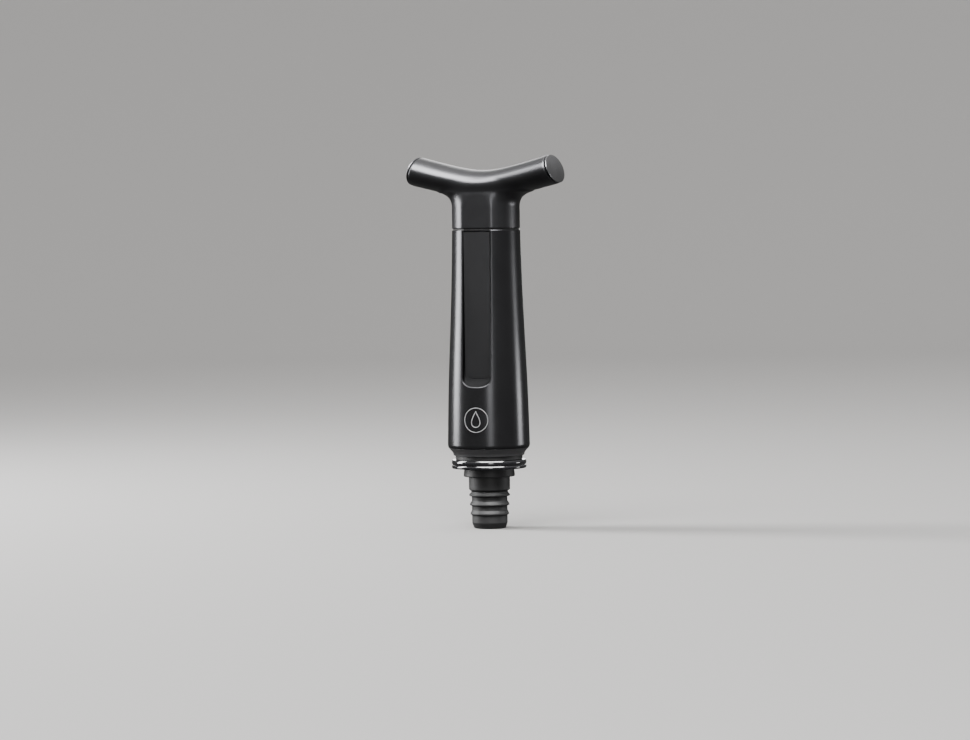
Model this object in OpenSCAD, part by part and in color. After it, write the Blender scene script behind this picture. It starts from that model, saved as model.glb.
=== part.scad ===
// Hand vacuum pump for a wine bottle, seated on its bottle stopper.
// Origin: on the pump's axis, in the plane where the stopper's collar rests on the bottle's lip.
// +Z up along the axis, X along the handle, the front is -Y. Millimetres.

/* [Casing] */
// Diameter of the casing at its lower edge
casing_lower_d = 38.3; // [37.5:0.1:40]
// Diameter of the casing at its upper edge
casing_upper_d = 31.7; // [31.4:0.1:32.4]
// Height of the casing
casing_h = 101.2; // [96:0.1:110]
// Wall thickness of the casing
casing_wall = 1.8; // [1.5:0.1:2]
// Share of the taper that bends into a gentle S
casing_swell = 0.06; // [0:0.01:0.1]
// Diameter of the foot ring where it faces the stopper
foot_d = 33; // [32:0.1:34]
// Height of the foot ring below the casing
foot_h = 3.5; // [3:0.1:4.5]

/* [Recess] */
// Width of the flat recess in the casing's front and back
recess_w = 13.6; // [11:0.1:14]
// Distance from the axis to the recess floor and to the flats on the neck
recess_face = 14.3; // [14.2:0.1:14.6]
// Height of the recess's lower end above the casing's lower edge
recess_low = 28.1; // [20:0.1:40]
// Radius of the recess's lower corners
recess_corner = 4.8; // [2:0.1:5]
// Slope of the recess's lower end, in degrees from level
sill_angle = 46; // [5:1:55]
// Thickness of the inlay in the recess
inlay_t = 0.9; // [0.6:0.1:1]
// Radius of the inlay's lower corners
inlay_corner = 2.6; // [0.8:0.1:3]

/* [Handle] */
// Length of the handle over its end caps, at the middle of the end faces
handle_l = 70.3; // [60:0.1:80]
// Height of the bar
bar_h = 13.2; // [12:0.1:15]
// Depth of the bar, front to back, at its ends
bar_end_d = 26.8; // [22:0.1:28]
// Height of the bar's centre above the neck's lower edge
bar_rise = 20.6; // [19.6:0.1:22]
// Slope that the arms reach towards their ends
arm_slope = 0.29; // [0.2:0.01:0.35]
// Roundness of the valley between the arms
valley_round = 4; // [2:0.1:8]
// Slant of the end faces from upright, in degrees
end_slant = 17; // [10:1:28]
// Diameter of the neck under the bar
neck_d = 31.6; // [31.4:0.1:32.4]
// Height of the neck's straight part
neck_h = 10.4; // [8:0.1:11]
// Radius of the flare from the neck into the arms
flare_r = 6.6; // [5:0.1:7]
// Gap between the handle and the casing
parting_gap = 0.5; // [0.4:0.05:0.8]

/* [Pump] */
// Bore of the pump barrel
bore_d = 20.8; // [20:0.1:21]
// Wall thickness of the pump barrel
barrel_wall = 1.3; // [1:0.1:1.3]
// Stroke of the piston
stroke = 63; // [40:0.5:63]
// Diameter of the piston rod
rod_d = 8; // [7.6:0.1:8]
// Width across the two flats of the piston rod
rod_flats = 6.4; // [6:0.1:6.6]

/* [Stopper] */
// Diameter of the plug's sealing band, which goes into the bottle's mouth
plug_d = 19.2; // [18:0.1:19.8]
// Length of the plug below the bottle's lip
plug_l = 24; // [23:0.1:30]
// Number of ribs on the plug
plug_ribs = 3; // [2:1:3]
// Diameter of the collar that rests on the bottle's lip
collar_d = 24; // [23:0.1:26]
// Height of the collar
collar_h = 3.9; // [3.5:0.1:5]
// Diameter of the two rings above the collar
flange_d = 34.8; // [33:0.1:36]
// Height of the two rings together
flange_h = 4; // [3.8:0.1:4.2]
// Height of the soft lip between the stopper and the foot ring
lip_h = 2.1; // [1.8:0.1:3]

/* [Hidden] */
$fn = 96;

// Gaps: between pieces of one moving group, and between pieces that move on each other
seat_gap = 0.05;
running_gap = 0.06;

// Levels along the axis, from the lip plane up
flange_z = collar_h;
flange_top = flange_z + flange_h;
foot_z = flange_top + lip_h;
casing_z = foot_z + foot_h;
casing_top = casing_z + casing_h;
neck_z = casing_top + parting_gap;
bar_z = neck_z + bar_rise;

// Stopper
ring_split = flange_z + 0.4 * flange_h;
ring_edge = 0.65;
snap_h = 1.2;
snap_in = 12.5;
snap_out = 14.3;
head_top = flange_z + 3.2;
plug_r = plug_d / 2;
land_l = 6;
head_r = 12;
boss_r = 11.1;
boss_top = flange_top + 6.7;
chamber_r = 7;
chamber_z = flange_top + 1.1;
port_r = 2.5;
valve_lift = 1.2;
cage_z = chamber_z + valve_lift + 1.8;
cage_top = cage_z + 2.2;

// Rounded edge that runs from the foot ring into the casing
edge_h = 1.5;
edge_bend = 0.13;
edge_steps = 8;

// Foot ring, barrel and its cap
mouth_r = 12.5;
mouth_top = foot_z + 8.2;
floor_t = 2.5;
barrel_z = mouth_top + floor_t + seat_gap;
spigot_r = 16.5;
spigot_top = barrel_z + 6;
air_port_r = 3;
groove_in = 10.2;
groove_out = 11.75;
groove_h = 1.55;
bore_r = bore_d / 2;
barrel_r = bore_r + barrel_wall;
socket_r = barrel_r + 1.6;
plate_t = 3;
plate_z = casing_top - plate_t;
barrel_top = plate_z - 6.7;
cap_z = barrel_top - 4;
cap_r = 12;
hub_r = 8;
bush_r = 6;
vent_r = 0.8;
vent_count = 3;

// Piston group, with the handle pushed down
rod_r = rod_d / 2;
clip_t = 0.8;
bumper_t = 1.4;
clip_z = cap_z - bumper_t - 0.7 - stroke - clip_t;
disc_t = 0.9;
disc_lift = 1;
disc_z = clip_z - 0.1 - disc_lift - disc_t;
rod_z = disc_z - seat_gap;
head_h = 8.4;
head_z = rod_z - head_h;
seal_h = 4;
seal_z = head_z + 1.6;
seal_root_r = 7.6;
port_count = 6;
port_ring_r = 5.6;
screw_r = 1.6;

// Casing wall and recess
casing_steps = 16;
recess_z = casing_z + recess_low;
sill_r = casing_r(1 - recess_low / casing_h);
sill_margin = 0.3;
slot_low = recess_z + (sill_r - recess_face) * tan(sill_angle) + sill_margin;
slot_high = casing_top - 0.9;
slot_w = recess_w - 0.6;
slot_gap = 0.15;

// Neck
neck_r = neck_d / 2;
flare_z = neck_z + neck_h;
flare_end = 80;
flare_steps = 8;
neck_points = 64;
neck_narrowing = 2.6;
neck_plate_r = 12.4;
neck_plate_t = 2;
rod_flange_r = 7;
rod_flange_t = 2;
rod_flange_z = neck_z + neck_plate_t + seat_gap;
rod_tail_top = rod_flange_z + 11.4;
neck_screw_x = 9.8;

// Bar: end of the grip where the cap starts, and half sizes
cap_depth = 2.1;
grip_x = handle_l / 2 - cap_depth;
half_h = bar_h / 2;
bar_steps = 12;
bar_points = 32;
bar_power = 2;
bar_mid_r = recess_face - 0.15;
arm_angle = atan(arm_slope);
cavity_w = 17;
cavity_h = 6.4;

// ---- Shapes that repeat ----

// A turned piece from its half outline
module turned(outline) {
    rotate_extrude() polygon(outline);
}

// Outline points of a rim with rounded edges, from its lower face to its upper face
function rim(r, low, high, edge) = concat(
    [for (a = [-90 : 22.5 : 0]) [r - edge + edge * cos(a), low + edge + edge * sin(a)]],
    [for (a = [0 : 22.5 : 90]) [r - edge + edge * cos(a), high - edge + edge * sin(a)]]
);

module plain_ring(outer_r, inner_r, low, high) {
    turned([[inner_r, low], [outer_r, low], [outer_r, high], [inner_r, high]]);
}

// A round bar with two flats that face front and back
module flatted_bar(r, flats, low, high) {
    intersection() {
        translate([0, 0, low]) cylinder(r = r, h = high - low);
        translate([-r - 1, -flats / 2, low - 1]) cube([2 * r + 2, flats, high - low + 2]);
    }
}

// Everything in front of or behind the flat faces of neck and casing top
module beyond_flats(low, high, face) {
    for (side = [0, 180])
        rotate([0, 0, side])
            translate([-30, face, low])
                cube([60, 10, high - low]);
}

// A closed skin over rings of points that all have the same count
module loft(rings) {
    count = len(rings[0]);
    last = len(rings) - 1;
    sides = [
        for (k = [0 : last - 1])
            for (i = [0 : count - 1])
                let (j = (i + 1) % count)
                    for (half = [0, 1])
                        half == 0
                            ? [k * count + i, (k + 1) * count + j, k * count + j]
                            : [k * count + i, (k + 1) * count + i, (k + 1) * count + j]
    ];
    first_face = [for (i = [0 : count - 1]) i];
    last_face = [for (i = [count - 1 : -1 : 0]) last * count + i];
    polyhedron(points = [for (ring = rings) each ring], faces = concat([first_face], sides, [last_face]));
}

// Point of a superellipse with half axes a and b, at angle t
function oval(a, b, power, t) = [
    a * sign(cos(t)) * pow(abs(cos(t)), 2 / power),
    b * sign(sin(t)) * pow(abs(sin(t)), 2 / power)
];

// ---- Stopper ----

module stopper_plug() {
    rib_pitch = (plug_l - land_l - 5) / plug_ribs;
    ribs = [
        for (i = [0 : plug_ribs - 1])
            let (z = -land_l - 1 - rib_pitch * i, r = plug_r - 0.1 - 0.25 * i)
                each [
                    [plug_r - 1.3, z], [r, z - 1.4], [r, z - 2], [plug_r - 1.3, z - 2.4]
                ]
    ];
    outline = concat(
        [[port_r, head_top], [head_r, head_top], [head_r, ring_split + 0.06]],
        [[plug_r - 0.6, ring_split + 0.06], [plug_r - 0.6, flange_z]],
        [[collar_d / 2 - 0.55, flange_z], [collar_d / 2 - 0.2, flange_z - 0.35]],
        [[collar_d / 2, 0.4], [collar_d / 2 - 0.4, 0], [plug_r, 0], [plug_r, -land_l]],
        ribs,
        [[plug_r - 1.3, -plug_l + 2.5], [plug_r - 2.2, -plug_l], [5.4, -plug_l], [5.4, -4]],
        [[port_r, -3]]
    );
    color([0.05, 0.05, 0.055]) turned(outline);
}

module stopper_lower_ring() {
    top = ring_split - seat_gap;
    snap_top = ring_split + snap_h - seat_gap;
    outline = concat(
        [[plug_r - 0.5, flange_z + seat_gap]],
        rim(flange_d / 2, flange_z + seat_gap, top, ring_edge),
        [[snap_out - 0.1, top], [snap_out - 0.1, snap_top]],
        [[snap_in + 0.1, snap_top], [snap_in + 0.1, top], [plug_r - 0.5, top]]
    );
    color([0.04, 0.04, 0.045]) turned(outline);
}

module stopper_upper_ring() {
    low = ring_split + 0.07;
    snap_top = ring_split + snap_h + seat_gap;
    head_low = head_top + seat_gap;
    outline = concat(
        [[snap_out, low]],
        rim(flange_d / 2, low, flange_top, ring_edge),
        [[boss_r, flange_top], [boss_r, boss_top - 0.6], [boss_r - 0.6, boss_top]],
        [[chamber_r, boss_top], [chamber_r, chamber_z], [port_r, chamber_z], [port_r, head_low]],
        [[head_r + 0.1, head_low], [head_r + 0.1, low], [snap_in, low]],
        [[snap_in, snap_top], [snap_out, snap_top]]
    );
    color([0.04, 0.04, 0.045]) turned(outline);
}

// Guard over the valve: a ring with three spokes and an eye that guides the valve's stem
module valve_cage() {
    color([0.75, 0.75, 0.77])
        translate([0, 0, cage_z])
            linear_extrude(cage_top - cage_z)
                difference() {
                    union() {
                        difference() {
                            circle(r = chamber_r - seat_gap);
                            circle(r = chamber_r - 1.6);
                        }
                        circle(r = 3);
                        for (a = [0, 120, 240])
                            rotate(a)
                                translate([1, -0.8])
                                    square([chamber_r - 1.8, 1.6]);
                    }
                    circle(r = 1.5 + running_gap);
                }
}

module stopper_valve() {
    low = chamber_z + 0.03;
    knob_z = cage_top + 0.2;
    color([0.35, 0.06, 0.1]) turned([
        [0, low], [5.6, low], [5.6, low + 0.8], [4.6, low + 1.45], [1.5, low + 1.45],
        [1.5, knob_z], [2.4, knob_z], [2.4, knob_z + 1], [1.9, knob_z + 1.4], [0, knob_z + 1.4],
    ]);
}

// ---- Pump ----

// Outline point of the rounded edge at height z: it spreads in an S from the foot ring to the casing's wall
function edge_point(z) =
    let (t = (z - foot_z) / (foot_h + edge_h), wall_r = casing_r(1 - edge_h / casing_h))
        [foot_d / 2 + (wall_r - foot_d / 2) * (t - edge_bend * sin(360 * t)), z];

// Foot ring: rounded edge, mouth for the stopper's boss, floor with the air port, socket for the barrel
module base_ring() {
    top = casing_z - seat_gap;
    floor_top = barrel_z - seat_gap;
    edge = [for (i = [0 : edge_steps]) edge_point(foot_z + (top - foot_z) * i / edge_steps)];
    outline = concat(
        [[mouth_r, foot_z]],
        edge,
        [[spigot_r, top], [spigot_r, spigot_top], [spigot_r - 1.2, spigot_top]],
        [[spigot_r - 1.2, casing_z + 2], [socket_r, casing_z + 2], [socket_r, spigot_top]],
        [[barrel_r + seat_gap, spigot_top], [barrel_r + seat_gap, floor_top]],
        [[groove_out, floor_top], [groove_out, floor_top - groove_h], [groove_in, floor_top - groove_h]],
        [[groove_in, floor_top], [air_port_r, floor_top], [air_port_r, mouth_top], [mouth_r, mouth_top]]
    );
    color([0.09, 0.09, 0.1]) turned(outline);
}

module mouth_seal() {
    low = flange_top + seat_gap;
    top = mouth_top - 0.4;
    inner_r = boss_r + 0.15;
    outer_r = foot_d / 2 - 0.9;
    sleeve_r = mouth_r - seat_gap;
    color([0.04, 0.04, 0.04]) turned([
        [inner_r, low + 0.5], [inner_r + 0.5, low], [outer_r - 0.5, low], [outer_r, low + 0.4],
        [outer_r, foot_z - 0.5], [outer_r - 0.3, foot_z - seat_gap], [sleeve_r, foot_z - seat_gap],
        [sleeve_r, top], [inner_r, top],
    ]);
}

module barrel_o_ring() {
    section_r = 0.74;
    color([0.07, 0.07, 0.07])
        rotate_extrude()
            translate([(groove_in + groove_out) / 2, barrel_z - 0.03 - section_r])
                circle(r = section_r, $fn = 24);
}

module pump_barrel() {
    color([0.8, 0.82, 0.84, 0.6]) plain_ring(barrel_r, bore_r, barrel_z, barrel_top);
}

// Cap that closes the barrel's top, carries the rod bush and lets the air above the piston out
module barrel_cap() {
    collar_r = 10.5;
    vent_z = barrel_top + 4.4;
    color([0.12, 0.12, 0.13]) difference() {
        turned([
            [bush_r, cap_z], [bore_r - 0.1, cap_z], [bore_r - 0.1, barrel_top + seat_gap],
            [cap_r, barrel_top + seat_gap], [cap_r, barrel_top + 3], [collar_r, barrel_top + 3],
            [collar_r, plate_z - seat_gap], [hub_r, plate_z - seat_gap], [hub_r, casing_top - 0.2],
            [bush_r, casing_top - 0.2],
        ]);
        for (i = [0 : vent_count - 1])
            rotate([0, 0, 360 / vent_count * i + 90]) {
                translate([9, 0, cap_z - 1]) cylinder(r = vent_r, h = vent_z - cap_z + 1, $fn = 24);
                translate([8.2, 0, vent_z]) rotate([0, 90, 0]) cylinder(r = vent_r, h = 5, $fn = 24);
            }
    }
}

module rod_bush() {
    flange_low = casing_top - 0.15;
    color([0.85, 0.84, 0.8]) difference() {
        turned([
            [0, cap_z + 0.2], [bush_r - seat_gap, cap_z + 0.2], [bush_r - seat_gap, flange_low],
            [bush_r + 1.2, flange_low], [bush_r + 1.2, casing_top + 0.3], [0, casing_top + 0.3],
        ]);
        flatted_bar(rod_r + running_gap, rod_flats + 2 * running_gap, cap_z - 1, casing_top + 2);
    }
}

module bump_washer() {
    color([0.1, 0.1, 0.1]) plain_ring(hub_r - 0.2, rod_r + 0.7, cap_z - bumper_t, cap_z - 0.02);
}

// Radius of the casing: t is 0 at its upper edge and 1 at its lower edge
function casing_r(t) = (
    casing_upper_d + (casing_lower_d - casing_upper_d) * (t - casing_swell * sin(360 * t))
) / 2;

module casing_solid() {
    first = 0.3 / casing_h;
    last = 1 - edge_h / casing_h;
    wall_points = [
        for (i = [0 : casing_steps])
            let (t = first + (last - first) * i / casing_steps)
                [casing_r(t), casing_top - casing_h * t]
    ];
    edge = [for (i = [edge_steps - 1 : -1 : 0]) edge_point(casing_z + edge_h * i / edge_steps)];
    turned(concat(
        [[0, casing_top], [casing_r(0) - 0.3, casing_top]],
        wall_points,
        edge,
        [[0, casing_z]]
    ));
}

// Hollow of the casing: it follows the taper, with a straight bore for the foot ring's spigot
module casing_hollow() {
    first = plate_t / casing_h;
    last = (casing_top - spigot_top - 0.5) / casing_h;
    wall_points = [
        for (i = [0 : casing_steps])
            let (t = first + (last - first) * i / casing_steps)
                [casing_r(t) - casing_wall, casing_top - casing_h * t]
    ];
    turned(concat(
        [[0, plate_z]],
        wall_points,
        [[spigot_r + seat_gap, spigot_top + 0.5], [spigot_r + seat_gap, casing_z - 1], [0, casing_z - 1]]
    ));
}

// Flat outline of the recess and of the inlay, seen from the front
module recess_outline(width, low, high, corner) {
    translate([-width / 2, low + corner]) square([width, high - low - corner]);
    translate([-width / 2 + corner, low]) square([width - 2 * corner, corner + 1]);
    for (side = [-1, 1])
        translate([side * (width / 2 - corner), low + corner])
            circle(r = corner);
}

// The recess: a flat pocket with a sloped sill, and a shallow slot in its floor for the inlay
module recess_cut() {
    intersection() {
        translate([0, -recess_face, 0])
            rotate([90, 0, 0])
                linear_extrude(10)
                    recess_outline(recess_w, recess_z, casing_top + 5, recess_corner);
        translate([0, -sill_r, recess_z])
            rotate([sill_angle, 0, 0])
                translate([-20, -150, 0])
                    cube([40, 300, 150]);
    }
    translate([0, -recess_face + inlay_t, 0])
        rotate([90, 0, 0])
            linear_extrude(inlay_t + 1)
                recess_outline(slot_w, slot_low, slot_high, inlay_corner + slot_gap);
}

module outer_sleeve() {
    backing_w = recess_w + 3.2;
    color([0.17, 0.17, 0.18]) difference() {
        union() {
            difference() {
                casing_solid();
                casing_hollow();
            }
            intersection() {
                casing_solid();
                for (side = [0, 180])
                    rotate([0, 0, side])
                        translate([-backing_w / 2, -casing_lower_d / 2, recess_z - 3])
                            cube([backing_w, casing_lower_d / 2 - cap_r - 0.1, plate_z - recess_z + 4]);
            }
        }
        for (side = [0, 180]) rotate([0, 0, side]) recess_cut();
        translate([0, 0, plate_z - 1]) cylinder(r = hub_r + 0.1, h = plate_t + 2);
    }
}

module inlay() {
    color([0.05, 0.05, 0.055])
        translate([0, -recess_face + inlay_t - 0.02, 0])
            rotate([90, 0, 0])
                linear_extrude(inlay_t - 0.1)
                    recess_outline(
                        slot_w - 2 * slot_gap, slot_low + slot_gap, slot_high - slot_gap, inlay_corner
                    );
}

module front_inlay() {
    inlay();
}

module rear_inlay() {
    rotate([0, 0, 180]) inlay();
}

// Soft ring in the parting gap, on which the handle lands
module landing_ring() {
    color([0.05, 0.05, 0.05]) difference() {
        plain_ring(neck_r - 0.6, neck_plate_r + 0.2, casing_top + 0.03, neck_z - seat_gap);
        beyond_flats(casing_top - 1, neck_z + 1, recess_face - 0.4);
    }
}

// ---- Handle and piston ----

// Height of the bar's centre line at x, half its depth there and the slant of the section there
function bar_centre_z(x) = bar_z + sqrt(valley_round ^ 2 + (arm_slope * x) ^ 2) - valley_round;
function bar_half_d(x) = bar_mid_r - (bar_mid_r - bar_end_d / 2) * (x / grip_x) ^ 2;
function bar_slant(x) = tan(end_slant) * x / grip_x;

// Ring of points round the bar at x, scaled by size and moved out along the end face's normal
function bar_ring(x, size = 1, out = 0) = [
    for (i = [0 : bar_points - 1])
        let (p = oval(bar_half_d(x), half_h, bar_power, 360 * i / bar_points) * size)
            [
                x - bar_slant(x) * p[1] + sign(x) * out * cos(end_slant),
                p[0],
                bar_centre_z(x) + p[1] + out * sin(end_slant)
            ]
];

module bar() {
    loft([for (i = [-bar_steps : bar_steps]) bar_ring(grip_x * i / bar_steps)]);
}

// Skin of the neck: round below, and spreading into the arms above
module neck_skin() {
    lowest = neck_oval(0, neck_z);
    flare = [
        for (k = [0 : flare_steps])
            let (turn = flare_end * k / flare_steps)
                neck_oval(turn, flare_z + flare_r * sin(turn))
    ];
    highest = neck_oval(flare_end, flare_z + flare_r + 3.2);
    loft(concat([lowest], flare, [highest]));
}

// Section of the neck at height z, where the flare's arc has turned by this angle
function neck_oval(turn, z) = [
    for (i = [0 : neck_points - 1])
        let (p = oval(
            neck_r + flare_r * (1 - cos(turn)),
            neck_r - neck_narrowing * turn / flare_end,
            2 + 0.3 * turn / flare_end,
            360 * i / neck_points
        ))
            [p[0], p[1], z]
];

// Flat-oval bar that runs into an arm from its end, for the cavity and the cap's spigot
module arm_core(side, width, height, from, to) {
    mirror([side < 0 ? 1 : 0, 0, 0])
        translate([grip_x, 0, bar_centre_z(grip_x)])
            rotate([0, -arm_angle, 0])
                translate([-to, 0, 0])
                    rotate([90, 0, 90])
                        linear_extrude(to - from) {
                            square([width - height, height], center = true);
                            for (end = [-1, 1])
                                translate([end * (width - height) / 2, 0])
                                    circle(d = height, $fn = 48);
                        }
}

module handle_grip() {
    color([0.24, 0.24, 0.25]) difference() {
        union() {
            bar();
            difference() {
                neck_skin();
                beyond_flats(neck_z - 1, bar_z + 2, recess_face);
            }
        }
        for (side = [-1, 1]) {
            arm_core(side, cavity_w, cavity_h, -4, 16);
            translate([side * neck_screw_x, 0, neck_z]) cylinder(r = 1.05, h = 12, $fn = 32);
        }
        translate([0, 0, neck_z - 1]) cylinder(r = neck_plate_r + 0.1, h = neck_plate_t + 1 + seat_gap);
        translate([0, 0, neck_z]) cylinder(r = rod_flange_r + 0.1, h = neck_plate_t + rod_flange_t + 0.1);
        translate([0, 0, neck_z]) cylinder(r = rod_r, h = rod_tail_top + 0.3 - neck_z);
    }
}

// Cap that closes the end of an arm, with its spigot
module end_cap(side) {
    // Size and height of each ring over the seam, from the foot of the rim to the crown of the face
    steps = [
        [0.9, 0.35], [0.965, 0.5], [0.98, 0.7], [0.98, 0.85], [0.965, 1.05],
        [0.92, 1.2], [0.75, 1.6], [0.5, 1.95], [0.2, 2.15],
    ];
    rings = [for (s = steps) bar_ring(grip_x, s[0], s[1])];
    mirror([side < 0 ? 1 : 0, 0, 0]) loft(rings);
    arm_core(side, cavity_w - 0.2, cavity_h - 0.2, -0.6, 6);
}

module left_end_cap() {
    color([0.3, 0.3, 0.31]) end_cap(-1);
}

module right_end_cap() {
    color([0.3, 0.3, 0.31]) end_cap(1);
}

// Plate under the neck that clamps the rod's flange
module neck_plate() {
    color([0.1, 0.1, 0.11]) difference() {
        translate([0, 0, neck_z + seat_gap]) cylinder(r = neck_plate_r, h = neck_plate_t - seat_gap);
        translate([0, 0, neck_z - 1]) cylinder(r = rod_r + 0.1, h = 5);
        for (side = [-1, 1])
            translate([side * neck_screw_x, 0, neck_z - 1]) {
                cylinder(r = 1.2, h = 5, $fn = 32);
                cylinder(r = 2.3, h = 2.3, $fn = 32);
            }
    }
}

module neck_screws() {
    color([0.6, 0.6, 0.62])
        for (side = [-1, 1])
            translate([side * neck_screw_x, 0, neck_z]) difference() {
                union() {
                    translate([0, 0, 0.15]) cylinder(r = 2.1, h = 1.1, $fn = 32);
                    translate([0, 0, 1]) cylinder(r = 1, h = 10.5, $fn = 32);
                }
                cylinder(r = 0.9, h = 0.8, $fn = 6);
            }
}

module piston_rod() {
    color([0.78, 0.79, 0.8]) difference() {
        union() {
            flatted_bar(rod_r, rod_flats, rod_z, rod_flange_z + 0.5);
            translate([0, 0, rod_flange_z]) cylinder(r = rod_flange_r, h = rod_flange_t);
            translate([0, 0, rod_flange_z + 1])
                cylinder(r = rod_r - 0.05, h = rod_tail_top - rod_flange_z - 1);
        }
        translate([0, 0, rod_z - 1]) cylinder(r = screw_r + seat_gap, h = 13, $fn = 32);
        plain_ring(rod_r + 2, rod_flats / 2 - 0.05, clip_z - 0.02, clip_z + clip_t + 0.02);
    }
}

// Piston: a groove for the seal, air ports that the disc valve covers, and a seat for the screw
module piston_head() {
    color([0.13, 0.13, 0.14]) difference() {
        turned([
            [screw_r + 0.15, head_z + 2], [3.6, head_z + 2], [3.6, head_z], [9.6, head_z],
            [bore_r - 0.3, head_z + 0.5], [bore_r - 0.3, seal_z], [seal_root_r, seal_z],
            [seal_root_r, seal_z + seal_h + 0.1], [bore_r - 0.3, seal_z + seal_h + 0.1],
            [bore_r - 0.3, rod_z - 0.4], [9.7, rod_z - 0.02], [screw_r + 0.15, rod_z - 0.02],
        ]);
        for (i = [0 : port_count - 1])
            rotate([0, 0, 360 / port_count * i])
                translate([port_ring_r, 0, head_z - 1])
                    cylinder(r = 0.9, h = head_h + 2, $fn = 24);
    }
}

// Cup seal with its lips upwards, so that it holds on the pull stroke
module piston_seal() {
    low = seal_z + seat_gap;
    high = seal_z + seal_h;
    lip_r = bore_r - 0.03;
    root_r = seal_root_r + 0.02;
    color([0.45, 0.08, 0.08]) turned([
        [root_r, low], [lip_r - 0.4, low], [lip_r - 0.35, low + 1.4], [lip_r, high - 0.5],
        [lip_r - 0.3, high], [lip_r - 0.8, high], [lip_r - 1.2, low + 1.5],
        [root_r + 0.7, low + 1.5], [root_r + 0.6, high], [root_r, high],
    ]);
}

module piston_screw() {
    color([0.6, 0.6, 0.62]) difference() {
        union() {
            translate([0, 0, head_z - 0.2]) cylinder(r = 3.4, h = 2.15, $fn = 48);
            translate([0, 0, head_z + 1.5]) cylinder(r = screw_r, h = 17, $fn = 32);
        }
        translate([0, 0, head_z - 1]) cylinder(r = 1.5, h = 2.2, $fn = 6);
    }
}

// Snap ring in the rod's groove that stops the disc valve
module stop_clip() {
    color([0.7, 0.7, 0.72]) difference() {
        plain_ring(6.6, rod_flats / 2, clip_z, clip_z + clip_t);
        translate([-2, 0, clip_z - 1]) cube([4, 10, 3]);
    }
}

// Ring-shaped valve that lets air through the piston on the push stroke
module piston_valve_disc() {
    color([0.5, 0.1, 0.1]) plain_ring(8.6, rod_r + 0.1, disc_z, disc_z + disc_t);
}

stopper_plug();
stopper_lower_ring();
stopper_upper_ring();
valve_cage();
stopper_valve();
base_ring();
mouth_seal();
barrel_o_ring();
pump_barrel();
barrel_cap();
rod_bush();
bump_washer();
outer_sleeve();
front_inlay();
rear_inlay();
landing_ring();
handle_grip();
left_end_cap();
right_end_cap();
neck_plate();
neck_screws();
piston_rod();
piston_head();
piston_seal();
piston_screw();
stop_clip();
piston_valve_disc();
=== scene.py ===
"""Looks of a hand vacuum wine pump on its bottle stopper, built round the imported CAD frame."""

import math

import bmesh
import bpy
import numpy as np
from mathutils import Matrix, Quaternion, Vector


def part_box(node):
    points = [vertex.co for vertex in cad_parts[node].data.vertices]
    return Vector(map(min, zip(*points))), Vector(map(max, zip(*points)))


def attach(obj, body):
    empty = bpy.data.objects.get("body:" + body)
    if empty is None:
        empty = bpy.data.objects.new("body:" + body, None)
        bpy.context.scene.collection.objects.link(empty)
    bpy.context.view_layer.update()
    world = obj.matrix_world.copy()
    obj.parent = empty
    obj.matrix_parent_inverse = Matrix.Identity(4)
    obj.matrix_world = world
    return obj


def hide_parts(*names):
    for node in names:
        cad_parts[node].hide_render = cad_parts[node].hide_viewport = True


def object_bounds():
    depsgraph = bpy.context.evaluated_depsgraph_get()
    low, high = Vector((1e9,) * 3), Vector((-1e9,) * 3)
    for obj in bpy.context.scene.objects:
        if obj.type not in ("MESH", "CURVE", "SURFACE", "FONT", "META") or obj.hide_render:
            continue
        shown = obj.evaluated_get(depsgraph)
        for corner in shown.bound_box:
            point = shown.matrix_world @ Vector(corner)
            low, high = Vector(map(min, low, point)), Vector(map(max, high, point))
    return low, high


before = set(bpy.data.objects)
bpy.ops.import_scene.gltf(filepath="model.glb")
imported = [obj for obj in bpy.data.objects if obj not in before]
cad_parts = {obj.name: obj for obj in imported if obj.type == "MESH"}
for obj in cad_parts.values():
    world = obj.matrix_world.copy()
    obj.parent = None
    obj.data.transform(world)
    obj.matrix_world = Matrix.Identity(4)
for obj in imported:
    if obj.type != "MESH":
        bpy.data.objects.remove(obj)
cad_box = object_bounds()
scene = bpy.context.scene

MM = 0.001


# ---------------------------------------------------------------- sizes, in mm, from the frame

def lowest(node):
    """Lower corner of the node's box."""
    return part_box(node)[0] / MM


def highest(node):
    """Upper corner of the node's box."""
    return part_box(node)[1] / MM


casing_z = lowest("outer_sleeve").z
casing_top = highest("outer_sleeve").z
casing_h = casing_top - casing_z
casing_lower_d = 38.3
casing_upper_d = 31.7
casing_swell = 0.06
casing_hollow_r = 12.2
roof_t = 3
roof_hole_r = 8.1
foot_r = 16.5
edge_h = 1.5
edge_bend = 0.13

recess_w = 13.6
recess_face = 14.3
recess_z = casing_z + 28.1
recess_corner = 4.8
recess_rim = 0.6
sill_slope = math.tan(math.radians(46))
sill_margin = 0.3
sill_round = 2.4
slot_gap = 0.15
slot_depth = 0.9
inlay_corner = 2.6

mark_z = casing_z + 13.6
mark_r = 5.6
mark_line = 0.3
drop_half_w = 2.9
drop_half_h = 3.7
drop_rise = 0.4
drop_line = 0.34

neck_z = lowest("handle_grip").z
neck_r = 15.8
neck_thinning = 1.6
plate_room = (12.5, 2.05)
rod_flange_room = (7.1, 4.1)
rod_room = (4.0, 13.75)
flare_r = 6.6
flare_z = neck_z + 10.4
flare_turn = math.radians(80)
flare_squareness = 0.2
neck_end_round = 2.2
neck_blend = 2.8
bar_z = neck_z + 20.6
half_h = 6.6
grip_x = 33.05
bar_mid_r = 14.15
bar_end_r = 13.4
bar_power = 2.0
arm_slope = 0.29
valley_round = 4.0
end_slant = math.radians(17)

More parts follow.
